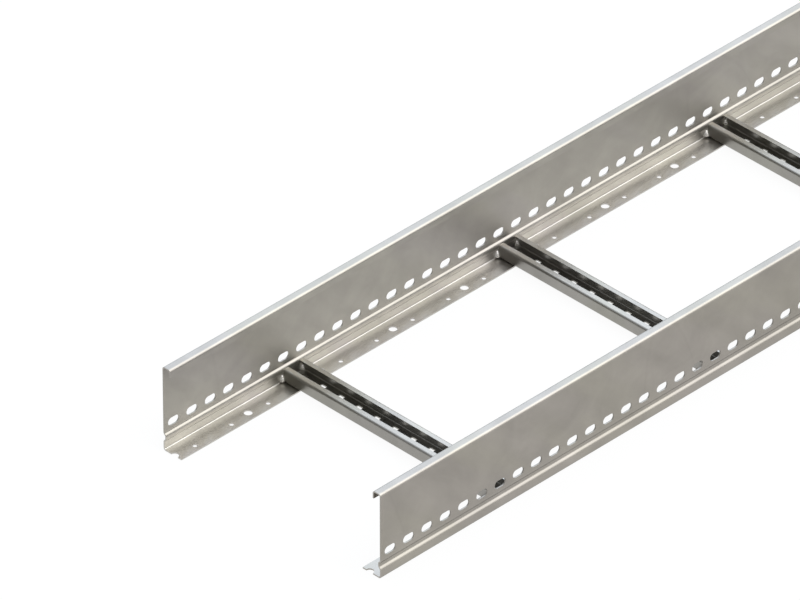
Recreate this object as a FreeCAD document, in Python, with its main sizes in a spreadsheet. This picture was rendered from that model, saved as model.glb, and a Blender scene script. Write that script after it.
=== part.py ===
"""Cable ladder section: two perforated side rails, ten C-shaped rungs and their welds.

The ladder lies on its foot flanges. X runs along the rails, Y across them from the right
rail to the left one, and Z up. The origin is in the middle of the footprint, on the floor.
Lengths are millimetres.
"""
import FreeCAD, Part
import math
import os

import Sketcher

VECTOR = FreeCAD.Vector
TOLERANCE = 1e-4

# Driving dimensions. Every size is written here once and is read through its name.
SIZES = {
    # The section as a whole.
    "ladder_length": 3000.0,
    "ladder_width": 300.0,
    "sheet": 1.5,
    "bend_radius": 1.5,
    # Side rail: a tall web with a lip on top, a bead pressed inward and a foot flange.
    "rail_height": 100.0,
    "lip_reach": 11.0,
    "lip_drop": 9.0,
    "foot_reach": 25.0,
    "bead_depth": 2.5,
    "bead_crest_low": 13.8,
    "bead_crest_high": 17.5,
    "bead_slope_low": 2.8,
    "bead_slope_high": 2.4,
    "bead_radius": 2.0,
    # Row of round-ended slots along the web.
    "slot_length": 15.0,
    "slot_height": 9.0,
    "slot_pitch": 25.0,
    "slot_level": 30.0,
    # Two rows of round holes along the foot flange.
    "bolt_hole": 9.0,
    "bolt_hole_pitch": 100.0,
    "bolt_hole_inset": 15.5,
    "tie_hole": 5.0,
    "tie_hole_pitch": 50.0,
    "tie_hole_inset": 18.0,
    # Rungs: open channels that stand on the foot flanges, evenly spread over the length
    # and then all shifted the same way, so that the spacing carries on over a joint.
    "rung_width": 30.0,
    "rung_height": 15.0,
    "rung_mouth": 16.0,
    "rung_count": 10,
    "rung_shift": 25.0,
    "rung_slot_length": 17.0,
    "rung_slot_width": 7.0,
    "rung_slot_pitch": 25.0,
    # Fillet welds in the corners between the rung walls and the webs.
    "weld_leg": 4.0,
}


def make_sizes(document):
    """Writes the driving dimensions into the document's sheet, one named cell each."""
    sheet = document.addObject("Spreadsheet::Sheet", "Sizes")
    for row, (alias, value) in enumerate(SIZES.items(), start=1):
        sheet.set("A%d" % row, alias)
        sheet.set("B%d" % row, str(value))
        sheet.setAlias("B%d" % row, alias)
    document.recompute()
    return sheet


def add_body(document, label):
    """Adds an empty body with a name and a label of its own."""
    body = document.addObject("PartDesign::Body", label)
    body.Label = label
    return body


def add_sketch(body, name, role):
    """Adds a sketch on one of the body's own origin planes."""
    plane = next(item for item in body.Origin.OriginFeatures if item.Role == role)
    sketch = body.newObject("Sketcher::SketchObject", name)
    sketch.AttachmentSupport = [(plane, "")]
    sketch.MapMode = "FlatFace"
    return sketch


def constrain(sketch, expression, kind, *elements):
    """Adds a dimension to the sketch and ties it to the sheet."""
    value = float(sketch.evalExpression(expression))
    index = sketch.addConstraint(Sketcher.Constraint(kind, *elements, value))
    sketch.setExpression("Constraints[%d]" % index, expression)


class Outline:
    """Closed outline of straight edges, whose corners are known by name."""

    def __init__(self, sketch, corners):
        """Draws the edges, joins them and keeps the level and upright ones so.

        corners maps each corner's name to its place, in order round the outline.
        """
        self.sketch = sketch
        self.corners = list(corners)
        points = [VECTOR(across, up, 0) for across, up in corners.values()]
        following = points[1:] + points[:1]
        for start, end in zip(points, following):
            edge = sketch.addGeometry(Part.LineSegment(start, end))
            if math.isclose(start.y, end.y):
                sketch.addConstraint(Sketcher.Constraint("Horizontal", edge))
            elif math.isclose(start.x, end.x):
                sketch.addConstraint(Sketcher.Constraint("Vertical", edge))
        for edge in range(len(points)):
            after = (edge + 1) % len(points)
            sketch.addConstraint(Sketcher.Constraint("Coincident", edge, 2, after, 1))

    def point(self, corner):
        """Gives the edge and end that stand for a corner; the sketch's origin is None."""
        if corner is None:
            return (-1, 1)
        return (self.corners.index(corner), 1)

    def across(self, first, second, expression):
        """Sets how far the second corner lies to the right of the first."""
        ends = self.point(first) + self.point(second)
        constrain(self.sketch, expression, "DistanceX", *ends)

    def rise(self, first, second, expression):
        """Sets how far the second corner lies above the first."""
        ends = self.point(first) + self.point(second)
        constrain(self.sketch, expression, "DistanceY", *ends)

    def fix(self, corner):
        """Puts a corner on the sketch's origin."""
        ends = self.point(corner) + self.point(None)
        self.sketch.addConstraint(Sketcher.Constraint("Coincident", *ends))

    def align_upright(self, first, second):
        """Keeps two corners one above the other."""
        ends = self.point(first) + self.point(second)
        self.sketch.addConstraint(Sketcher.Constraint("Vertical", *ends))

    def offset_edge(self, inner, outer, expression):
        """Keeps the edge that starts at inner parallel to the one that ends there outside.

        Both edges are named by the corner where they start.
        """
        inner_edge = self.corners.index(inner)
        outer_edge = self.corners.index(outer)
        self.sketch.addConstraint(Sketcher.Constraint("Parallel", inner_edge, outer_edge))
        constrain(self.sketch, expression, "Distance", inner_edge, 1, outer_edge)

    def place(self, corner):
        """Gives a corner's solved place in the sketch."""
        edge, _ = self.point(corner)
        return self.sketch.Geometry[edge].StartPoint


def fold_edges(feature, direction, places):
    """Names the long edges of a feature that pass through the given places."""
    names = []
    for index, edge in enumerate(feature.Shape.Edges, start=1):
        if not isinstance(edge.Curve, Part.Line):
            continue
        if abs(abs(edge.Curve.Direction.dot(direction)) - 1) > TOLERANCE:
            continue
        start = edge.Vertexes[0].Point
        level = start - direction * start.dot(direction)
        if any(level.isEqual(place, TOLERANCE) for place in places):
            names.append("Edge%d" % index)
    return names


def round_folds(body, name, feature, direction, places, radius):
    """Rounds the named folds of a bent sheet with one radius."""
    fillet = body.newObject("PartDesign::Fillet", name)
    fillet.Base = (feature, fold_edges(feature, direction, places))
    fillet.setExpression("Radius", radius)
    body.Document.recompute()
    return fillet


def draw_slot(sketch, length, height, across, up):
    """Draws a round-ended slot that lies level, with its centre across and up from the origin."""
    reach = "((%s) - (%s)) / 2" % (length, height)
    half = float(sketch.evalExpression(reach))
    radius = float(sketch.evalExpression(height)) / 2
    centre = VECTOR(float(sketch.evalExpression(across)), float(sketch.evalExpression(up)), 0)
    left = centre - VECTOR(half, 0, 0)
    right = centre + VECTOR(half, 0, 0)
    lift = VECTOR(0, radius, 0)
    quarter = math.pi / 2
    left_circle = Part.Circle(left, VECTOR(0, 0, 1), radius)
    right_circle = Part.Circle(right, VECTOR(0, 0, 1), radius)
    left_end = sketch.addGeometry(Part.ArcOfCircle(left_circle, quarter, 3 * quarter))
    right_end = sketch.addGeometry(Part.ArcOfCircle(right_circle, -quarter, quarter))
    top = sketch.addGeometry(Part.LineSegment(right + lift, left + lift))
    bottom = sketch.addGeometry(Part.LineSegment(left - lift, right - lift))
    loop = (right_end, top, left_end, bottom)
    for edge, following in zip(loop, loop[1:] + loop[:1]):
        sketch.addConstraint(Sketcher.Constraint("Tangent", edge, 2, following, 1))
    sketch.addConstraint(Sketcher.Constraint("Horizontal", bottom))
    constrain(sketch, "(%s) / 2" % height, "Radius", left_end)
    constrain(sketch, "2 * %s" % reach, "DistanceX", left_end, 3, right_end, 3)
    constrain(sketch, "(%s) - %s" % (across, reach), "DistanceX", -1, 1, left_end, 3)
    constrain(sketch, up, "DistanceY", -1, 1, left_end, 3)


def draw_hole(sketch, diameter, across, up):
    """Draws a round hole with its centre across and up from the origin."""
    circle = sketch.addGeometry(Part.Circle(VECTOR(1, 1, 0), VECTOR(0, 0, 1), 1))
    constrain(sketch, diameter, "Diameter", circle)
    constrain(sketch, across, "DistanceX", -1, 1, circle, 3)
    constrain(sketch, up, "DistanceY", -1, 1, circle, 3)


def punch(body, sketch, upward):
    """Cuts the sketch through one thickness of the sheet, and checks that metal went."""
    before = body.Shape.Volume
    pocket = body.newObject("PartDesign::Pocket", sketch.Name + "_punch")
    pocket.Profile = sketch
    pocket.Reversed = upward
    pocket.Refine = False
    pocket.setExpression("Length", "Sizes.sheet")
    body.Document.recompute()
    if body.Shape.Volume >= before:
        raise ValueError("%s cuts nothing" % sketch.Name)
    return pocket


def repeat(body, feature, axis_role, count, pitch):
    """Repeats a feature along one of the body's own axes."""
    axis = next(item for item in body.Origin.OriginFeatures if item.Role == axis_role)
    pattern = body.newObject("PartDesign::LinearPattern", feature.Name + "_row")
    pattern.Originals = [feature]
    pattern.Direction = (axis, [""])
    pattern.Refine = False
    pattern.setExpression("Occurrences", count)
    pattern.setExpression("Length", "((%s) - 1) * (%s)" % (count, pitch))
    body.Tip = pattern
    body.Document.recompute()
    return pattern


def draw_rail_outline(body):
    """Draws the rail's section: lip, web with its bead, and foot flange, one sheet thick.

    The web's outer face stands on the origin and the rail's inside lies to the right.
    """
    size = SIZES
    thick = size["sheet"]
    height = size["rail_height"]
    crest = size["bead_depth"]
    foot_level = size["bead_crest_low"] - size["bead_slope_low"]
    head_level = size["bead_crest_high"] + size["bead_slope_high"]
    outline = Outline(
        add_sketch(body, body.Name + "_section", "YZ_Plane"),
        {
            "lip_end": (size["lip_reach"], height - size["lip_drop"]),
            "lip_top": (size["lip_reach"], height),
            "web_top": (0, height),
            "bead_head": (0, head_level),
            "crest_high": (crest, size["bead_crest_high"]),
            "crest_low": (crest, size["bead_crest_low"]),
            "bead_foot": (0, foot_level),
            "heel": (0, 0),
            "toe": (size["foot_reach"], 0),
            "toe_inside": (size["foot_reach"], thick),
            "heel_inside": (thick, thick),
            "bead_foot_inside": (thick, foot_level - thick / 4),
            "crest_low_inside": (crest + thick, size["bead_crest_low"] - thick / 4),
            "crest_high_inside": (crest + thick, size["bead_crest_high"] + thick / 4),
            "bead_head_inside": (thick, head_level + thick / 4),
            "web_top_inside": (thick, height - thick),
            "lip_top_inside": (size["lip_reach"] - thick, height - thick),
            "lip_end_inside": (size["lip_reach"] - thick, height - size["lip_drop"]),
        },
    )
    outline.fix("heel")
    outline.align_upright("bead_head", "heel")
    outline.align_upright("bead_head_inside", "heel_inside")
    outline.rise("heel", "web_top", "Sizes.rail_height")
    outline.rise("lip_end", "lip_top", "Sizes.lip_drop")
    outline.across("web_top", "lip_top", "Sizes.lip_reach")
    outline.across("heel", "toe", "Sizes.foot_reach")
    outline.rise("heel", "crest_low", "Sizes.bead_crest_low")
    outline.rise("heel", "crest_high", "Sizes.bead_crest_high")
    outline.rise("bead_foot", "crest_low", "Sizes.bead_slope_low")
    outline.rise("crest_high", "bead_head", "Sizes.bead_slope_high")
    outline.across("bead_foot", "crest_low", "Sizes.bead_depth")
    outline.rise("toe", "toe_inside", "Sizes.sheet")
    outline.across("heel", "heel_inside", "Sizes.sheet")
    outline.across("crest_low", "crest_low_inside", "Sizes.sheet")
    outline.rise("web_top_inside", "web_top", "Sizes.sheet")
    outline.across("lip_end_inside", "lip_end", "Sizes.sheet")
    outline.offset_edge("crest_high_inside", "bead_head", "Sizes.sheet")
    outline.offset_edge("bead_foot_inside", "crest_low", "Sizes.sheet")
    return outline


def roll_rail(document, label):
    """Forms one side rail: a long bent sheet with slots in its web and holes in its foot.

    The rail starts at the body's origin and runs along X, with its inside towards +Y.
    """
    body = add_body(document, label)
    outline = draw_rail_outline(body)
    pad = body.newObject("PartDesign::Pad", label + "_sheet")
    pad.Profile = outline.sketch
    pad.setExpression("Length", "Sizes.ladder_length")
    document.recompute()

    def places(corners):
        solved = [outline.place(corner) for corner in corners]
        return [VECTOR(0, point.x, point.y) for point in solved]

    square = ("lip_top", "web_top", "heel")
    square_inside = [corner + "_inside" for corner in square]
    bead_outside = ("bead_head", "bead_foot", "crest_low_inside", "crest_high_inside")
    bead_inside = ("bead_head_inside", "bead_foot_inside", "crest_low", "crest_high")
    folds = (
        ("outer_folds", places(square), "Sizes.bend_radius + Sizes.sheet"),
        ("inner_folds", places(square_inside), "Sizes.bend_radius"),
        ("bead_outer_folds", places(bead_outside), "Sizes.bead_radius + Sizes.sheet"),
        ("bead_inner_folds", places(bead_inside), "Sizes.bead_radius"),
    )
    rounded = pad
    for name, corners, radius in folds:
        rounded = round_folds(body, "%s_%s" % (label, name), rounded, VECTOR(1, 0, 0), corners, radius)
    punch_web_slots(body)
    punch_foot_holes(body, "bolt_hole", "0", "floor(%s / %s + 1)")
    punch_foot_holes(body, "tie_hole", "Sizes.tie_hole_pitch / 2", "floor(%s / %s)")
    return body


def punch_web_slots(body):
    """Punches the row of level slots along the web, centred on the rail's length."""
    count = "floor(Sizes.ladder_length / Sizes.slot_pitch)"
    start = "(Sizes.ladder_length - (%s - 1) * Sizes.slot_pitch) / 2" % count
    sketch = add_sketch(body, body.Name + "_slot", "XZ_Plane")
    draw_slot(sketch, "Sizes.slot_length", "Sizes.slot_height", start, "Sizes.slot_level")
    repeat(body, punch(body, sketch, False), "X_Axis", count, "Sizes.slot_pitch")


def punch_foot_holes(body, hole, start, count_rule):
    """Punches one row of round holes along the foot flange."""
    pitch = "Sizes.%s_pitch" % hole
    count = count_rule % ("Sizes.ladder_length", pitch)
    sketch = add_sketch(body, "%s_%s" % (body.Name, hole), "XY_Plane")
    draw_hole(sketch, "Sizes.%s" % hole, start, "Sizes.%s_inset" % hole)
    repeat(body, punch(body, sketch, True), "X_Axis", count, pitch)


def place_rails(right_rail, left_rail):
    """Stands the rails on the floor, feet inward; the left one is the same part turned round."""
    right_rail.setExpression("Placement.Base.x", "-Sizes.ladder_length / 2")
    right_rail.setExpression("Placement.Base.y", "-Sizes.ladder_width / 2")
    half_turn = FreeCAD.Rotation(VECTOR(0, 0, 1), 180)
    left_rail.Placement = FreeCAD.Placement(VECTOR(0, 0, 0), half_turn)
    left_rail.setExpression("Placement.Base.x", "Sizes.ladder_length / 2")
    left_rail.setExpression("Placement.Base.y", "Sizes.ladder_width / 2")


def draw_rung_outline(body):
    """Draws the rung's section: a channel with two flat lips that leave its mouth open."""
    half = SIZES["rung_width"] / 2
    height = SIZES["rung_height"]
    mouth = SIZES["rung_mouth"] / 2
    thick = SIZES["sheet"]
    outline = Outline(
        add_sketch(body, body.Name + "_section", "XZ_Plane"),
        {
            "left_lip": (-mouth, height),
            "left_top": (-half, height),
            "left_foot": (-half, 0),
            "right_foot": (half, 0),
            "right_top": (half, height),
            "right_lip": (mouth, height),
            "right_lip_inside": (mouth, height - thick),
            "right_top_inside": (half - thick, height - thick),
            "right_foot_inside": (half - thick, thick),
            "left_foot_inside": (thick - half, thick),
            "left_top_inside": (thick - half, height - thick),
            "left_lip_inside": (-mouth, height - thick),
        },
    )
    outline.across("left_foot", None, "Sizes.rung_width / 2")
    outline.rise(None, "left_foot", "0")
    outline.across("left_foot", "right_foot", "Sizes.rung_width")
    outline.across("left_lip", None, "Sizes.rung_mouth / 2")
    outline.across("left_lip", "right_lip", "Sizes.rung_mouth")
    outline.rise("left_foot", "left_top", "Sizes.rung_height")
    outline.rise("right_foot", "right_top", "Sizes.rung_height")
    outline.across("left_foot", "left_foot_inside", "Sizes.sheet")
    outline.across("right_foot_inside", "right_foot", "Sizes.sheet")
    outline.rise("left_foot", "left_foot_inside", "Sizes.sheet")
    outline.rise("left_lip_inside", "left_lip", "Sizes.sheet")
    outline.rise("right_lip_inside", "right_lip", "Sizes.sheet")
    return outline


def roll_rung(document, label, station):
    """Forms one rung between the crests of the two beads and stands it on the foot flanges.

    station counts the rungs from the near end of the ladder, starting at zero.
    """
    body = add_body(document, label)
    outline = draw_rung_outline(body)
    pad = body.newObject("PartDesign::Pad", label + "_sheet")
    pad.Profile = outline.sketch
    pad.Midplane = True
    pad.setExpression("Length", RUNG_LENGTH)
    document.recompute()

    def places(corners):
        solved = [outline.place(corner) for corner in corners]
        return [VECTOR(point.x, 0, point.y) for point in solved]

    across = VECTOR(0, 1, 0)
    folds = ("left_top", "left_foot", "right_foot", "right_top")
    outer_radius = "Sizes.bend_radius + Sizes.sheet"
    rounded = round_folds(body, label + "_outer_folds", pad, across, places(folds), outer_radius)
    inner_folds = places([fold + "_inside" for fold in folds])
    round_folds(body, label + "_inner_folds", rounded, across, inner_folds, "Sizes.bend_radius")
    punch_rung_slots(body)
    body.setExpression("Placement.Base.x", station_along(station))
    body.setExpression("Placement.Base.z", "Sizes.sheet")
    return body


RUNG_LENGTH = "Sizes.ladder_width - 2 * (Sizes.sheet + Sizes.bead_depth)"


def station_along(station):
    """Gives the place of a rung's middle along the ladder."""
    middle = "(%d + 0.5) * Sizes.ladder_length / Sizes.rung_count" % station
    return "%s + Sizes.rung_shift - Sizes.ladder_length / 2" % middle


def punch_rung_slots(body):
    """Punches the row of crosswise slots along the rung's floor."""
    room = "(%s - Sizes.rung_slot_width)" % RUNG_LENGTH
    count = "floor(%s / Sizes.rung_slot_pitch + 1)" % room
    half = SIZES["rung_slot_length"] / 2
    width = SIZES["rung_slot_width"]
    outline = Outline(
        add_sketch(body, body.Name + "_slot", "XY_Plane"),
        {
            "near_left": (-half, -width),
            "near_right": (half, -width),
            "far_right": (half, 0),
            "far_left": (-half, 0),
        },
    )
    start = "((%s - 1) * Sizes.rung_slot_pitch + Sizes.rung_slot_width) / 2" % count
    outline.across("near_left", "near_right", "Sizes.rung_slot_length")
    outline.across("near_left", None, "Sizes.rung_slot_length / 2")
    outline.rise("near_left", "far_left", "Sizes.rung_slot_width")
    outline.rise("near_left", None, start)
    repeat(body, punch(body, outline.sketch, True), "Y_Axis", count, "Sizes.rung_slot_pitch")


def lay_welds(document, label, side, stations):
    """Lays the quarter-round welds that hold all rungs to one rail.

    side is -1 for the right rail and 1 for the left one. Each rung wall has a weld along
    both of its faces, from the rung's lower bend up to the underside of the bead.
    """
    beads = []
    for station in stations:
        for wall in (-1, 1):
            beads.append(lay_weld(document, label, side, station, wall, "outer"))
            beads.append(lay_weld(document, label, side, station, wall, "inner"))
    group = document.addObject("Part::Compound", label)
    group.Label = label
    group.Links = beads
    return group


def lay_weld(document, label, side, station, wall, face):
    """Lays one weld in the corner between a wall's face and the web."""
    bead = document.addObject("Part::Cylinder", "%s_%s" % (label, face))
    outward = wall if face == "outer" else -wall
    wall_place = "Sizes.rung_width / 2" if face == "outer" else "(Sizes.rung_width / 2 - Sizes.sheet)"
    bead.Angle = 90
    bead.setExpression("Radius", "Sizes.weld_leg")
    # Both ends stay clear of folds, the rung's lower one and the one at the bead's foot.
    bottom = "2 * Sizes.sheet + Sizes.bend_radius"
    fold = "(Sizes.sheet + Sizes.bead_radius) / 2"
    top = "Sizes.bead_crest_low - Sizes.bead_slope_low - %s" % fold
    bead.setExpression("Height", "%s - (%s)" % (top, bottom))
    # The quarter round opens along the web, away from the wall, and into the ladder.
    turns = {(1, -1): 0, (-1, -1): 90, (-1, 1): 180, (1, 1): 270}
    turn = FreeCAD.Rotation(VECTOR(0, 0, 1), turns[(outward, side)])
    bead.Placement = FreeCAD.Placement(VECTOR(0, 0, 0), turn)
    bead.setExpression("Placement.Base.x", "%s + %d * %s" % (station_along(station), wall, wall_place))
    bead.setExpression("Placement.Base.y", "%d * (Sizes.ladder_width / 2 - Sizes.sheet)" % side)
    bead.setExpression("Placement.Base.z", bottom)
    return bead


def check(document, pieces):
    """Stops when anything in the document failed, or when a piece has no sound shape."""
    for item in document.Objects:
        if {"Invalid", "Error"} & set(item.State):
            raise ValueError("%s is %s" % (item.Label, item.State))
    for piece in pieces:
        if piece.Shape.isNull() or not piece.Shape.isValid():
            raise ValueError("%s has no valid shape" % piece.Label)


def main():
    document = FreeCAD.newDocument("CableLadder")
    make_sizes(document)
    right_rail = roll_rail(document, "side_rail_right")
    left_rail = roll_rail(document, "side_rail_left")
    place_rails(right_rail, left_rail)
    stations = range(SIZES["rung_count"])
    rungs = [roll_rung(document, "rung_%02d" % (station + 1), station) for station in stations]
    welds = [
        lay_welds(document, "weld_beads_right", -1, stations),
        lay_welds(document, "weld_beads_left", 1, stations),
    ]
    document.recompute()
    pieces = [right_rail, left_rail] + rungs + welds
    check(document, pieces)
    os.makedirs("parts", exist_ok=True)
    for piece in pieces:
        piece.Shape.exportStep("parts/%s.step" % piece.Label)


main()
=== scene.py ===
"""Looks of the cable ladder section: satin stainless rails, rungs and weld seams.

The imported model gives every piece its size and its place. This script dresses the rolled
sheet, lays the weld seams, and sets up the floor, the light and the camera. All lengths are
metres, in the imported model's own frame.
"""
import logging
import math
import random
from dataclasses import dataclass, field
from enum import Enum
from typing import Any, Dict, Iterator, List, Optional, Sequence, Tuple, Union

import bmesh
import bpy
from mathutils import Matrix, Vector


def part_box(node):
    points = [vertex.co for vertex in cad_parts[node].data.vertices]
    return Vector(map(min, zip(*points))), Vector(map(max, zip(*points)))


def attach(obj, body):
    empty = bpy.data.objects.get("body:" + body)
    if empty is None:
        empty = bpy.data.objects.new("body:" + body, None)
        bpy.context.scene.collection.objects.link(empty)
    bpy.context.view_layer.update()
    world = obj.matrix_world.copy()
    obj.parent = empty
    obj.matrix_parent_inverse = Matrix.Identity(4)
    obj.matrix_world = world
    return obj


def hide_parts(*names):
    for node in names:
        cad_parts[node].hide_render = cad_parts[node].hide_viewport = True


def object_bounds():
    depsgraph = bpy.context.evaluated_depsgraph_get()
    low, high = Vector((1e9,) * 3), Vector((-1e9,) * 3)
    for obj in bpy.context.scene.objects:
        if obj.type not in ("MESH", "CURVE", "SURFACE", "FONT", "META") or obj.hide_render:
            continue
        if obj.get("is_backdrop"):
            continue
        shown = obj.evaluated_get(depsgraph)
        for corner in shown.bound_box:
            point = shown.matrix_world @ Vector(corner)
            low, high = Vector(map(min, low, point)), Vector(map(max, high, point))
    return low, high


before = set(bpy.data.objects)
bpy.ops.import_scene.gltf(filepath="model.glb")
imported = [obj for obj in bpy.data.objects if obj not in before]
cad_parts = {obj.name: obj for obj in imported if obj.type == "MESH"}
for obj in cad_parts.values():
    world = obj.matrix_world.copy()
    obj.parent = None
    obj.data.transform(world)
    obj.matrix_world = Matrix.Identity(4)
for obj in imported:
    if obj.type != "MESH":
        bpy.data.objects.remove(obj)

LOG = logging.getLogger("cable_ladder")
BODY = "root"

# The Mix node's sockets for colours, by number
MIX_SHARE = 0
MIX_FIRST_COLOUR = 6
MIX_SECOND_COLOUR = 7
MIX_COLOUR_RESULT = 2

# The level that a noise texture is around, and plain white with its alpha
NOISE_MIDDLE = 0.5
WHITE = (1.0, 1.0, 1.0, 1.0)

Span = Tuple[float, float]
Triple = Tuple[float, float, float]
Colour = Triple
Numbers = Union[float, Sequence[float]]


def names(start: str) -> List[str]:
    """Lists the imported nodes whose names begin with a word."""
    return [name for name in sorted(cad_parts) if name.startswith(start)]


class Grain(Enum):
    """The way the sheet ran through the rolls, as stretch factors along X, Y and Z."""

    ALONG_RAIL = (50.0, 1.0, 1.0)
    ALONG_RUNG = (1.0, 50.0, 1.0)
    NONE = (1.0, 1.0, 1.0)


class Side(Enum):
    """The two rails, with the sign of the Y coordinate where each one stands."""

    RIGHT = -1
    LEFT = 1

    @property
    def label(self) -> str:
        """The side's word in the names of its pieces."""
        return self.name.lower()


# How much painted sheen, a brighter colour standing in for reflected light, the low inner faces of
# each rail get
FOOT_PAINTED_SHEEN = {Side.RIGHT: 0.20, Side.LEFT: 0.74}


class Socket:
    """A shader socket that takes part in Python arithmetic and adds the nodes for it."""

    def __init__(self, graph: "Graph", socket: bpy.types.NodeSocket) -> None:
        """Wraps one output socket of a graph."""
        self.graph = graph
        self.socket = socket

    def __add__(self, other: "Term") -> "Socket":
        """Adds another value."""
        return self.graph.maths("ADD", self, other)

    __radd__ = __add__

    def __mul__(self, other: "Term") -> "Socket":
        """Multiplies by another value."""
        return self.graph.maths("MULTIPLY", self, other)

    __rmul__ = __mul__

    def __sub__(self, other: "Term") -> "Socket":
        """Takes another value away."""
        return self.graph.maths("SUBTRACT", self, other)

    def __rsub__(self, other: "Term") -> "Socket":
        """Is taken away from another value."""
        return self.graph.maths("SUBTRACT", other, self)

    def __pow__(self, other: "Term") -> "Socket":
        """Raises to a power."""
        return self.graph.maths("POWER", self, other)

    def __rpow__(self, other: "Term") -> "Socket":
        """Is the power that another value is raised to."""
        return self.graph.maths("POWER", other, self)


Term = Union[Socket, float]
Shade = Union[Socket, Colour]


@dataclass(frozen=True)
class Pattern:
    """A noise pattern on the steel.

    Args:
        scale: Its cells per metre.
        detail: How many finer layers it has.
        grit: How strong the finer layers are.
        wisp: How far its patches are drawn out into wisps.
        stretch: How many times longer it is along X, Y and Z.
        lean: How far its upright lines lean towards +X, in radians.
    """

    scale: float
    detail: float
    grit: float = 0.5
    wisp: float = 0.0
    stretch: Triple = (1.0, 1.0, 1.0)
    lean: float = 0.0


class Graph:
    """The node tree of a material or of the world, built from empty."""

    def __init__(self, tree: bpy.types.NodeTree) -> None:
        """Empties the tree.

        Args:
            tree: The node tree to build in.
        """
        self.tree = tree
        tree.nodes.clear()

    def node(
        self,
        kind: str,
        settings: Optional[Dict[str, Any]] = None,
        inputs: Optional[Dict[Union[str, int], Union[Socket, Numbers]]] = None,
    ) -> bpy.types.Node:
        """Adds one node.

        Args:
            kind: The node's type.
            settings: Properties of the node, set before its inputs.
            inputs: Values or links for its sockets, by name or number.

        Returns:
            The new node.
        """
        made = self.tree.nodes.new(kind)
        for name, value in (settings or {}).items():
            setattr(made, name, value)
        for name, value in (inputs or {}).items():
            if isinstance(value, Socket):
                self.tree.links.new(value.socket, made.inputs[name])
            else:
                made.inputs[name].default_value = value
        return made

    def output(self, node: bpy.types.Node, name: Union[str, int] = 0) -> Socket:
        """Wraps one of a node's outputs."""
        return Socket(self, node.outputs[name])

    def part(self, vector: Socket, axis: str) -> Socket:
        """Takes the X, Y or Z out of a vector."""
        return self.output(self.node("ShaderNodeSeparateXYZ", {}, {"Vector": vector}), axis)

    def maths(self, operation: str, first: Term, second: Term = 0.0) -> Socket:
        """Adds a Math node.

        Args:
            operation: The node's operation.
            first: Its first value.
            second: Its second value, which an operation on one value leaves out.

        Returns:
            The node's result.
        """
        node = self.node("ShaderNodeMath", {"operation": operation}, {0: first, 1: second})
        return self.output(node)

    def blended_colour(self, first: Colour, second: Colour, share: Socket) -> Socket:
        """Blends two colours through a Mix node.

        Args:
            first: The colour where the share is 0, linear.
            second: The colour where the share is 1, linear.
            share: How much of the second there is.

        Returns:
            The blended colour.
        """
        inputs = {
            MIX_SHARE: share,
            MIX_FIRST_COLOUR: (*first, 1.0),
            MIX_SECOND_COLOUR: (*second, 1.0),
        }
        node = self.node("ShaderNodeMix", {"data_type": "RGBA"}, inputs)
        return self.output(node, MIX_COLOUR_RESULT)

    def product_colour(self, first: Shade, second: Shade) -> Socket:
        """Multiplies two colours, channel by channel."""
        inputs = {0: first, 1: second}
        return self.output(self.node("ShaderNodeVectorMath", {"operation": "MULTIPLY"}, inputs))

    def summed_colour(self, first: Shade, second: Shade) -> Socket:
        """Adds two colours, channel by channel."""
        inputs = {0: first, 1: second}
        return self.output(self.node("ShaderNodeVectorMath", {"operation": "ADD"}, inputs))

    def scaled_colour(self, colour: Shade, factor: Socket) -> Socket:
        """Multiplies a colour by a value."""
        inputs = {"Vector": colour, "Scale": factor}
        return self.output(self.node("ShaderNodeVectorMath", {"operation": "SCALE"}, inputs))

    def fade(self, value: Socket, full: float, none: float) -> Socket:
        """Makes a mask that fades out as a value grows.

        Args:
            value: The value.
            full: The value up to which the mask is 1.
            none: The value from which it is 0.

        Returns:
            The mask.
        """
        inputs = {
            "Value": value,
            "From Min": full,
            "From Max": none,
            "To Min": 1.0,
            "To Max": 0.0,
        }
        node = self.node("ShaderNodeMapRange", {"interpolation_type": "SMOOTHSTEP"}, inputs)
        return self.output(node)

    def noise(self, place: Socket, pattern: Pattern) -> Socket:
        """Lays a noise pattern.

        Args:
            place: The place, in the object's coordinates.
            pattern: What the noise is like.

        Returns:
            The pattern's level, around NOISE_MIDDLE.
        """
        turned = {"Vector": place, "Rotation": (0.0, pattern.lean, 0.0), "Scale": pattern.stretch}
        mapping = self.node("ShaderNodeMapping", {"vector_type": "TEXTURE"}, turned)
        inputs = {
            "Vector": self.output(mapping),
            "Scale": pattern.scale,
            "Detail": pattern.detail,
            "Roughness": pattern.grit,
            "Distortion": pattern.wisp,
        }
        return self.output(self.node("ShaderNodeTexNoise", {}, inputs))


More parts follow.
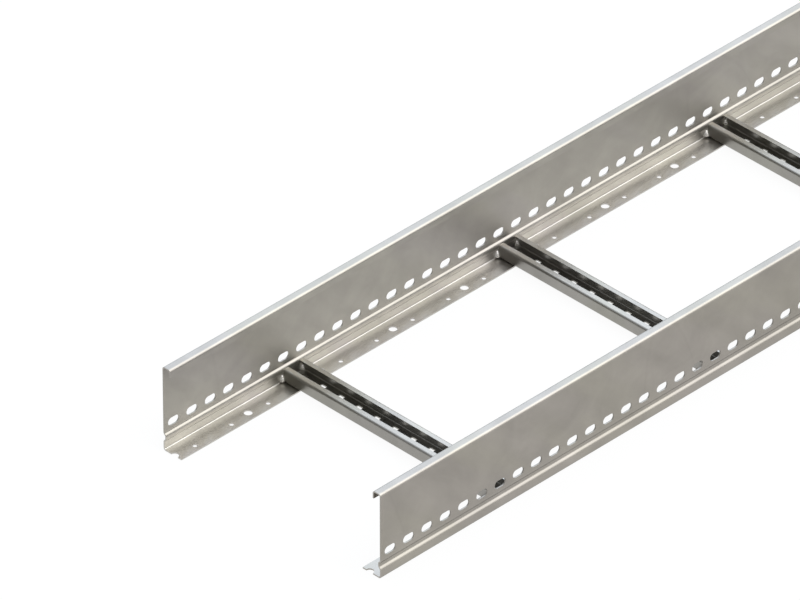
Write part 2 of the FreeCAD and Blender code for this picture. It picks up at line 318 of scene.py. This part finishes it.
@dataclass(frozen=True)
class SteelFinish:
    """Satin stainless sheet as it leaves the rolls, with faint clouds, streaks and scratches.

    Args:
        name: The material's name.
        colour: The steel's own colour, linear.
        roughness: How blurred its reflections are.
        grain: Which way the rolling marks run.
        clouds: The soft clouds on it.
        cloud_depth: How much the clouds lighten and darken the colour.
        cloud_blur: How much the clouds change the roughness.
        streaks: The leaning streaks on it.
        streak_depth: How much the streaks lighten and darken the colour.
        casts: Its patches of warmer and cooler steel, which lean as the streaks do.
        cast_edges: The noise levels between which a warm patch turns into a cool one.
        warm_cast: The cast of the warmer patches, as factors of the colour.
        cool_cast: The cast of the cooler patches.
        scratch_noise: The noise whose level lines are the scratches.
        scratch_width: The scratches' half width, as a step of that noise.
        scratch_depth: How much the scratches darken the colour.
        grain_scale: Rolling marks per metre, across the grain.
        grain_detail: How many finer layers of marks there are.
        grain_depth: How much the marks change the roughness.
        grain_tone: How much the marks lighten and darken the colour.
        relief: The height of the marks, in metres.
    """

    name: str
    colour: Colour
    roughness: float
    grain: Grain
    clouds: Pattern = Pattern(scale=17.0, detail=4.0, grit=0.6, wisp=0.6)
    cloud_depth: float = 0.42
    cloud_blur: float = 0.06
    streaks: Pattern = Pattern(scale=45.0, detail=3.0, stretch=(1.0, 1.0, 4.0), lean=-0.85)
    streak_depth: float = 0.24
    casts: Pattern = Pattern(scale=14.0, detail=3.0, stretch=(1.0, 1.0, 4.0), lean=-0.85)
    cast_edges: Span = (0.42, 0.58)
    warm_cast: Colour = (1.000, 1.004, 0.988)
    cool_cast: Colour = (1.000, 0.996, 1.012)
    scratch_noise: Pattern = Pattern(scale=5.0, detail=1.0, stretch=(1.0, 1.0, 3.0), lean=-0.15)
    scratch_width: float = 0.006
    scratch_depth: float = 0.03
    grain_scale: float = 900.0
    grain_detail: float = 2.0
    grain_depth: float = 0.03
    grain_tone: float = 0.02
    relief: float = 0.000002

    def tint(self, graph: Graph, place: Socket, facing: Socket) -> Shade:
        """Gives the steel's colour at a place, before clouds and streaks."""
        return self.colour

    def blur(self, graph: Graph, place: Socket, facing: Socket) -> Term:
        """Gives the steel's roughness at a place, before clouds and grain."""
        return self.roughness

    def scratches(self, graph: Graph, place: Socket) -> Socket:
        """Draws thin scratches along the level lines of a noise."""
        height = graph.maths("ABSOLUTE", graph.noise(place, self.scratch_noise) - NOISE_MIDDLE)
        return graph.fade(height, 0.0, self.scratch_width)

    def material(self) -> bpy.types.Material:
        """Builds the material.

        Returns:
            The node material.
        """
        made = bpy.data.materials.new(self.name)
        made.use_nodes = True
        graph = Graph(made.node_tree)
        coordinates = graph.node("ShaderNodeTexCoord")
        place = graph.output(coordinates, "Object")
        facing = graph.output(coordinates, "Normal")
        rolling = Pattern(self.grain_scale, self.grain_detail, stretch=self.grain.value)
        clouds = graph.noise(place, self.clouds) - NOISE_MIDDLE
        streaks = graph.noise(place, self.streaks) - NOISE_MIDDLE
        marks = graph.noise(place, rolling) - NOISE_MIDDLE
        warmth = graph.fade(graph.noise(place, self.casts), *self.cast_edges)
        cast = graph.blended_colour(self.cool_cast, self.warm_cast, warmth)
        tone = 1.0 + clouds * self.cloud_depth + streaks * self.streak_depth
        tone = tone + marks * self.grain_tone - self.scratches(graph, place) * self.scratch_depth
        tint = graph.product_colour(self.tint(graph, place, facing), cast)
        blur = self.blur(graph, place, facing) + clouds * self.cloud_blur
        height = {"Strength": 1.0, "Distance": self.relief, "Height": marks}
        bump = graph.node("ShaderNodeBump", {}, height)
        inputs = {
            "Base Color": graph.scaled_colour(tint, tone),
            "Metallic": 1.0,
            "Roughness": blur + marks * self.grain_depth,
            "Normal": graph.output(bump),
        }
        shader = graph.node("ShaderNodeBsdfPrincipled", {}, inputs)
        graph.node("ShaderNodeOutputMaterial", {}, {"Surface": graph.output(shader)})
        return made


@dataclass(frozen=True)
class RailFinish(SteelFinish):
    """A rail's sheet: smoother at the folds, where the rolls press, with painted sheen on its inner
    faces and painted shade in the groove behind its bead.

    Args:
        fold_roughness: How blurred the reflections in the bead and the heel are.
        fold_heights: The heights between which the bead's smoothness fades into the web.
        head_roughness: How blurred the reflections in the top fold are.
        head_heights: The heights between which the web fades into that fold.
        painted_sheen: The brighter colour of the inner faces' painted sheen, a painted reflection,
            linear.
        lying_share: How much of that painted sheen all low inner faces get.
        upright_share: How much more of it the upright ones among them have; less if negative.
        web_share: How much of it all upright inner faces have, up to the top.
        painted_sheen_heights: The heights between which the low faces' painted sheen fades out.
        turned_away: The product of a face's Y and its normal's Y at which it is an outer face.
        groove_slants: The Z of an outer face's normal where it gets the full painted shade and
            where it gets none.
        groove_painted_shade: How much painted shade darkens the outer faces that look down, behind
            the bead.
    """

    fold_roughness: float = 0.36
    fold_heights: Span = (0.021, 0.023)
    head_roughness: float = 0.38
    head_heights: Span = (0.096, 0.098)
    painted_sheen: Colour = (0.518, 0.500, 0.470)
    lying_share: float = 0.20
    upright_share: float = -0.15
    web_share: float = 0.30
    painted_sheen_heights: Span = (0.008, 0.020)
    turned_away: float = 0.04
    groove_slants: Span = (-0.25, -0.02)
    groove_painted_shade: float = 0.18

    def tint(self, graph: Graph, place: Socket, facing: Socket) -> Shade:
        """Paints sheen on the inner faces, the low ones most, and paints shade in the groove behind
        the bead.

        Args:
            graph: The material's graph.
            place: The place, in the object's coordinates.
            facing: The way that the face looks.

        Returns:
            The colour at the place.
        """
        rise = graph.part(facing, "Z")
        outward = graph.part(place, "Y") * graph.part(facing, "Y")
        inside = graph.fade(outward, 0.0, self.turned_away)
        upright = 1.0 - graph.maths("ABSOLUTE", rise)
        low = graph.fade(graph.part(place, "Z"), *self.painted_sheen_heights)
        # Painted sheen: inner faces get a brighter colour that stands in for the light they
        # reflect, the low ones most
        share = low * (self.lying_share + upright * self.upright_share) + upright * self.web_share
        steel = graph.blended_colour(self.colour, self.painted_sheen, share * inside)
        # Painted shade: the outer faces that look down, behind the bead, are darkened
        groove = graph.fade(rise, *self.groove_slants) * (1.0 - inside)
        return graph.scaled_colour(steel, 1.0 - groove * self.groove_painted_shade)

    def blur(self, graph: Graph, place: Socket, facing: Socket) -> Term:
        """Smooths the sheet below and above the flat web.

        Args:
            graph: The material's graph.
            place: The place, in the object's coordinates.
            facing: The way that the face looks.

        Returns:
            The roughness at the place.
        """
        height = graph.part(place, "Z")
        below = graph.fade(height, *self.fold_heights)
        above = 1.0 - graph.fade(height, *self.head_heights)
        smoothed = below * (self.roughness - self.fold_roughness)
        smoothed = smoothed + above * (self.roughness - self.head_roughness)
        return self.roughness - smoothed


@dataclass(frozen=True)
class RungFinish(SteelFinish):
    """The rungs' sheet, with lips whose upper faces have painted sheen, a brighter colour standing
    in for the light they reflect, and are less glossy.

    Args:
        lip_painted_sheen: The brighter colour of the lips' upper faces, a painted sheen, linear.
        lip_roughness: How blurred their reflections are.
        lip_heights: The heights between which the painted sheen and the lips' own roughness come
            in.
        lip_slants: The Z of a face's normal between which it comes in.
    """

    lip_painted_sheen: Colour = (0.391, 0.373, 0.335)
    lip_roughness: float = 0.40
    lip_heights: Span = (0.0140, 0.0160)
    lip_slants: Span = (0.80, 1.00)

    def lips(self, graph: Graph, place: Socket, facing: Socket) -> Socket:
        """Makes a mask of the lips' upper faces.

        Args:
            graph: The material's graph.
            place: The place, in the object's coordinates.
            facing: The way that the face looks.

        Returns:
            The mask, which is 1 on the faces.
        """
        high = 1.0 - graph.fade(graph.part(place, "Z"), *self.lip_heights)
        level = 1.0 - graph.fade(graph.part(facing, "Z"), *self.lip_slants)
        return high * level

    def tint(self, graph: Graph, place: Socket, facing: Socket) -> Shade:
        """Paints sheen on the lips' upper faces, which makes them brighter."""
        # Painted sheen: the lips' upper faces get a brighter colour standing in for the light they
        # reflect
        return graph.blended_colour(self.colour, self.lip_painted_sheen, self.lips(graph, place, facing))

    def blur(self, graph: Graph, place: Socket, facing: Socket) -> Term:
        """Blurs the reflections in the lips' upper faces."""
        change = self.lip_roughness - self.roughness
        return self.roughness + self.lips(graph, place, facing) * change


@dataclass(frozen=True)
class FloorFinish:
    """Matt white studio floor that stays white under the object and keeps its soft shadow.

    Args:
        name: The material's name.
        colour: The floor's own colour, linear.
        glow: The share of plain white in what the camera and the steel see of the floor.
    """

    name: str = "studio_floor"
    colour: Colour = (0.80, 0.80, 0.80)
    glow: float = 0.94

    def material(self) -> bpy.types.Material:
        """Builds the material.

        Returns:
            The node material.
        """
        made = bpy.data.materials.new(self.name)
        made.use_nodes = True
        graph = Graph(made.node_tree)
        matt = graph.node("ShaderNodeBsdfDiffuse", {}, {"Color": (*self.colour, 1.0)})
        white = graph.node("ShaderNodeEmission", {}, {"Color": WHITE, "Strength": 1.0})
        path = graph.node("ShaderNodeLightPath")
        seen = graph.output(path, "Is Camera Ray")
        for ray in ("Is Glossy Ray", "Is Transmission Ray"):
            seen = graph.maths("MAXIMUM", seen, graph.output(path, ray))
        inputs = {0: seen * self.glow, 1: graph.output(matt), 2: graph.output(white)}
        mixed = graph.node("ShaderNodeMixShader", {}, inputs)
        graph.node("ShaderNodeOutputMaterial", {}, {"Surface": graph.output(mixed)})
        return made


@dataclass
class RolledSheet:
    """A rail or the rungs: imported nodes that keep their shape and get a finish.

    Args:
        nodes: The nodes' names.
        finish: The finish that they get.
    """

    nodes: List[str]
    finish: SteelFinish

    def dress(self) -> None:
        """Puts the finish on every material slot of the nodes."""
        material = self.finish.material()
        for name in self.nodes:
            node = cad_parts[name]
            for slot in node.material_slots:
                slot.material = material
            LOG.info("dressed %s with %s", name, material.name)


@dataclass
class WeldSeams:
    """The fillet welds between the rungs and one rail, laid as rippled beads.

    Args:
        side: Which rail they are on.
        finish: The weld metal's finish.
        sheet: The thickness of the rungs' sheet.
        leg: How far a bead reaches from its corner along the wall and along the web.
        flare: How much wider it is at its foot than in its middle, as a share of the leg.
        root: How deep its hidden side lies in the sheet.
        burying: How soon its hidden side gets to that depth from the two ends.
        fullness: The shape of its face: 1 is a quarter round, 2 is flat.
        bluntness: The shape of its two ends: 0.5 is an ellipse's, and less is blunter.
        above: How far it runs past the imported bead's top, into the crease under the rail's bead.
        below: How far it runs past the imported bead's foot, onto the foot flange.
        ripples: How many ripples a bead has along its length.
        ripple_depth: The ripples' height, as a share of the leg.
        swell: The least and the greatest size of a bead, as factors of the leg.
        segments: Corners round a bead.
        rings: Rings along a bead.
        seed: The seed of its small irregularities.
    """

    side: Side
    finish: SteelFinish
    sheet: float = 0.0015
    leg: float = 0.0042
    flare: float = 0.40
    root: float = 0.0007
    burying: float = 3.0
    fullness: float = 1.1
    bluntness: float = 0.36
    above: float = 0.0010
    below: float = 0.0026
    ripples: float = 6.0
    ripple_depth: float = 0.026
    swell: Span = (0.92, 1.08)
    segments: int = 26
    rings: int = 42
    seed: int = 7

    @property
    def node(self) -> str:
        """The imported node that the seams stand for."""
        return "weld_beads_%s" % self.side.label

    def corners(self) -> Iterator[Tuple[float, float]]:
        """Gives each corner's place along the ladder and the side of the wall it is on.

        Yields:
            The X of the wall's face and the sign of the direction away from it.
        """
        for name in names("rung_"):
            low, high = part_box(name)
            for face, outward in ((low.x, -1), (high.x, 1)):
                yield face, outward
                yield face - outward * self.sheet, -outward

    def reach(self, share: float, leg: float) -> float:
        """Gives how far the bead's outline lies from the corner along one of its two faces.

        Args:
            share: The sine or cosine of the outline's angle.
            leg: The bead's leg at this height.

        Returns:
            The distance, which is negative inside the sheet.
        """
        if share < 0.0:
            return self.root * share
        return leg * share ** self.fullness

    def bead(
        self,
        seams: bmesh.types.BMesh,
        corner: Vector,
        away: float,
        half: float,
        draw: random.Random,
    ) -> None:
        """Lays one bead into a corner.

        Args:
            seams: The mesh that it is added to.
            corner: The middle of the corner's line.
            away: The sign of the direction along X, away from the wall.
            half: Half of the bead's length.
            draw: The source of the bead's small irregularities.
        """
        mesh = bmesh.new()
        bmesh.ops.create_uvsphere(mesh, u_segments=self.segments, v_segments=self.rings, radius=1.0)
        phase = draw.uniform(0.0, math.tau)
        size = draw.uniform(*self.swell)
        for vert in mesh.verts:
            level = max(-1.0, min(1.0, vert.co.z))
            turn = math.atan2(vert.co.y, vert.co.x)
            taper = max(1.0 - level * level, 0.0) ** self.bluntness
            ripple = 1.0 + self.ripple_depth * math.cos(phase + level * math.pi * self.ripples)
            leg = self.leg * size * taper * ripple * (1.0 - self.flare * level)
            buried = min(1.0, self.burying * taper)
            along = self.reach(math.cos(turn), leg)
            inward = self.reach(math.sin(turn), leg)
            vert.co.x = away * (along if along > 0.0 else along * buried)
            vert.co.y = -self.side.value * (inward if inward > 0.0 else inward * buried)
            vert.co.z = level * half
        bmesh.ops.translate(mesh, verts=mesh.verts, vec=corner)
        bmesh.ops.recalc_face_normals(mesh, faces=mesh.faces)
        single = bpy.data.meshes.new("weld_bead")
        mesh.to_mesh(single)
        mesh.free()
        seams.from_mesh(single)
        bpy.data.meshes.remove(single)

    def build(self) -> bpy.types.Object:
        """Lays all seams of the rail as one piece.

        Returns:
            The finished piece.
        """
        draw = random.Random(self.seed)
        low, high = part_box(self.node)
        web = high.y if self.side is Side.LEFT else low.y
        top = high.z + self.above
        foot = low.z - self.below
        mesh = bmesh.new()
        for along, away in self.corners():
            self.bead(mesh, Vector((along, web, (top + foot) / 2)), away, (top - foot) / 2, draw)
        for face in mesh.faces:
            face.smooth = True
        data = bpy.data.meshes.new("weld_seams_%s" % self.side.label)
        mesh.to_mesh(data)
        mesh.free()
        piece = bpy.data.objects.new(data.name, data)
        bpy.context.scene.collection.objects.link(piece)
        data.materials.append(self.finish.material())
        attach(piece, BODY)
        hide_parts(self.node)
        LOG.info("laid %s: %d faces", piece.name, len(data.polygons))
        return piece


@dataclass(frozen=True)
class Softbox:
    """A large soft light on the studio's dome.

    Args:
        direction: Where it hangs, seen from the object.
        colour: Its light, linear, added to the dome's.
        spread: The sharpness of its edge; a higher number makes it smaller.
    """

    direction: Triple
    colour: Colour
    spread: float


@dataclass
class Studio:
    """The floor, the dome of light around it, and its soft boxes.

    Args:
        floor_size: The floor's length and width.
        dome: The dome's even light, linear.
        boxes: The soft boxes.
    """

    floor_size: float = 60.0
    dome: Colour = (0.40, 0.40, 0.40)
    boxes: List[Softbox] = field(default_factory=list)

    def lay_floor(self) -> None:
        """Lays the floor flat at height zero, under the object."""
        mesh = bmesh.new()
        bmesh.ops.create_grid(mesh, x_segments=1, y_segments=1, size=self.floor_size / 2)
        data = bpy.data.meshes.new("studio_floor")
        mesh.to_mesh(data)
        mesh.free()
        floor = bpy.data.objects.new(data.name, data)
        bpy.context.scene.collection.objects.link(floor)
        data.materials.append(FloorFinish().material())
        floor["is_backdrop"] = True
        LOG.info("laid the floor")

    def hang_dome(self) -> None:
        """Builds the dome's light: an even glow with a soft bright patch for each box."""
        world = bpy.data.worlds.new("studio_dome")
        bpy.context.scene.world = world
        world.use_nodes = True
        graph = Graph(world.node_tree)
        direction = graph.output(graph.node("ShaderNodeTexCoord"), "Generated")
        light: Shade = self.dome
        for box in self.boxes:
            inputs = {0: direction, 1: Vector(box.direction).normalized()}
            facing = graph.node("ShaderNodeVectorMath", {"operation": "DOT_PRODUCT"}, inputs)
            near = graph.maths("MAXIMUM", graph.output(facing, "Value"), 0.0)
            light = graph.summed_colour(light, graph.scaled_colour(box.colour, near ** box.spread))
        shader = graph.node("ShaderNodeBackground", {}, {"Color": light, "Strength": 1.0})
        graph.node("ShaderNodeOutputWorld", {}, {"Surface": graph.output(shader)})
        LOG.info("hung the dome with %d soft boxes", len(self.boxes))


@dataclass(frozen=True)
class PhotoCamera:
    """The photograph's viewpoint: a very long lens that looks along both the X and Y axes.

    Args:
        azimuth: From +Y towards +X, in radians.
        elevation: How far it looks down, in radians.
        roll: Its turn about the line of sight, in radians.
        distance: From the lens to the anchor, along the line of sight.
        focal_px: The focal length in pixels of the photograph.
        frame_px: The photograph's width and height in pixels.
        anchor_px: Where the anchor is seen, in pixels.
        anchor_rise: The anchor's height. It is in the middle of the near end.
        sensor: The sensor's width, in millimetres.
        sight: How far it sees, as a multiple of the distance.
    """

    azimuth: float = math.radians(44.894)
    elevation: float = math.radians(35.240)
    roll: float = math.radians(0.113)
    distance: float = 12.052
    focal_px: float = 12465.0
    frame_px: Span = (800.0, 600.0)
    anchor_px: Span = (271.58, 512.78)
    anchor_rise: float = 0.001465
    sensor: float = 36.0
    sight: float = 4.0

    def place(self, near_end: float) -> bpy.types.Object:
        """Puts the camera in the scene.

        Args:
            near_end: The X of the ladder's near end.

        Returns:
            The camera.
        """
        flat = math.cos(self.elevation)
        level = Vector((math.cos(self.azimuth), -math.sin(self.azimuth), 0.0))
        ahead = Vector((math.sin(self.azimuth) * flat, math.cos(self.azimuth) * flat))
        forward = Vector((ahead.x, ahead.y, -math.sin(self.elevation)))
        plumb = forward.cross(level)
        right = level * math.cos(self.roll) + plumb * math.sin(self.roll)
        down = plumb * math.cos(self.roll) - level * math.sin(self.roll)
        scale = self.distance / self.focal_px
        aside = (self.anchor_px[0] - self.frame_px[0] / 2) * scale
        below = (self.anchor_px[1] - self.frame_px[1] / 2) * scale
        anchor = Vector((near_end, 0.0, self.anchor_rise))
        centre = anchor - right * aside - down * below - forward * self.distance
        turn = Matrix((right, -down, -forward)).transposed().to_4x4()
        lens = bpy.data.cameras.new("photo_camera")
        lens.sensor_width = self.sensor
        lens.lens = self.focal_px / self.frame_px[0] * self.sensor
        lens.clip_end = self.sight * self.distance
        camera = bpy.data.objects.new("photo_camera", lens)
        bpy.context.scene.collection.objects.link(camera)
        camera.matrix_world = Matrix.Translation(centre) @ turn
        bpy.context.scene.camera = camera
        LOG.info("placed the camera %.2f m away", self.distance)
        return camera


def plain(box: Tuple[Vector, Vector]) -> List[List[float]]:
    """Turns a box's two corners into plain lists of numbers."""
    return [[float(value) for value in corner] for corner in box]


def main() -> None:
    """Dresses the ladder, lays its welds and sets up the studio."""
    logging.basicConfig(level=logging.INFO, format="%(name)s: %(message)s")
    cad_box = plain(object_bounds())
    for side, share in FOOT_PAINTED_SHEEN.items():
        rail = RailFinish(
            name="rail_steel_%s" % side.label,
            colour=(0.349, 0.328, 0.293),
            roughness=0.54,
            grain=Grain.ALONG_RAIL,
            lying_share=share,
        )
        RolledSheet(names("side_rail_%s" % side.label), rail).dress()
    rung = RungFinish(
        name="rung_satin_steel",
        colour=(0.320, 0.312, 0.286),
        roughness=0.36,
        grain=Grain.ALONG_RUNG,
    )
    RolledSheet(names("rung"), rung).dress()
    weld = SteelFinish(
        name="weld_metal",
        colour=(0.74, 0.72, 0.68),
        roughness=0.25,
        grain=Grain.NONE,
        grain_scale=1500.0,
        relief=0.00003,
    )
    for side in Side:
        WeldSeams(side, weld).build()
    studio = Studio(
        boxes=[
            Softbox(direction=(0.45, -0.45, 0.77), colour=(3.15, 3.15, 3.15), spread=4.0),
            Softbox(direction=(0.577, 0.577, 0.577), colour=(1.38, 1.60, 1.92), spread=3.0),
        ]
    )
    studio.lay_floor()
    studio.hang_dome()
    PhotoCamera().place(cad_box[0][0])
    bpy.context.scene.view_settings.view_transform = "Standard"


if __name__ == "__main__":
    main()
